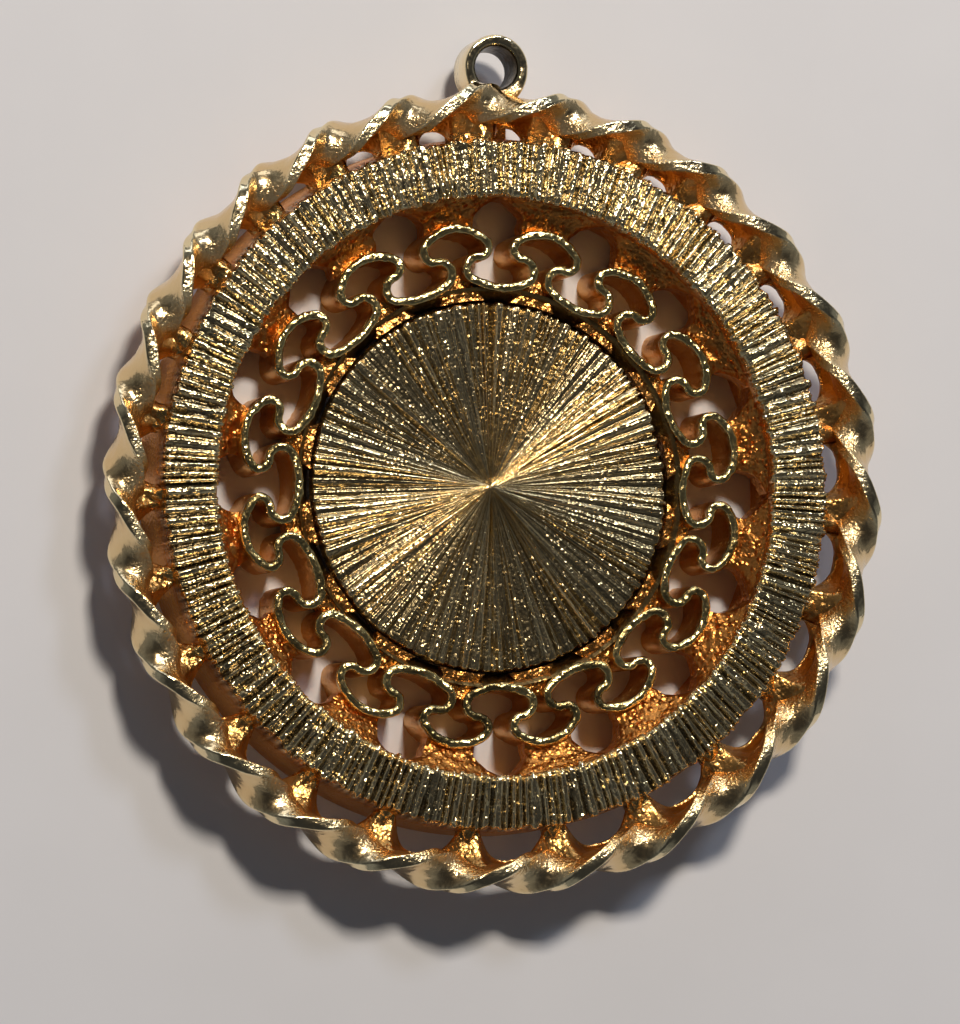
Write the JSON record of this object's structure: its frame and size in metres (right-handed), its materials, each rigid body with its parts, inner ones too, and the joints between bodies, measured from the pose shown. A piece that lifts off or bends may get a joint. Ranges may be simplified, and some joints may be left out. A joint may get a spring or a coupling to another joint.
{
  "type": "pierced medallion pendant with a sunburst disc, a scroll gallery and a twisted ribbon border",
  "caption": "Round openwork cast pendant: ridged sunburst disc, scroll gallery, barred ring, twisted ribbon border and a hanging loop with a round hole.",
  "frame": {"origin": "middle of the base of the part's box, on the surface that its flat back lies on", "axes": "+Z out of the pendant's face, +Y towards the hanging loop, +X to the right seen from the front"},
  "size_m": [0.052, 0.0554, 0.0064],
  "materials": {
    "ribbon_gold": "gold plated, polished, softly rounded edges",
    "barred_gold": "gold plated, radial bars",
    "gallery_gold": "gold plated, rough as cast low down, bright along the top edge",
    "sunburst_gold": "gold plated, fine radial ridges",
    "loop_gold": "gold plated, polished"
  },
  "bodies": {
    "root": {"rope_border": "ribbon_gold", "ridged_ring": "barred_gold", "scroll_gallery": "gallery_gold", "sunburst_disc": "sunburst_gold", "hanging_loop": "loop_gold"}
  },
  "joints": []
}
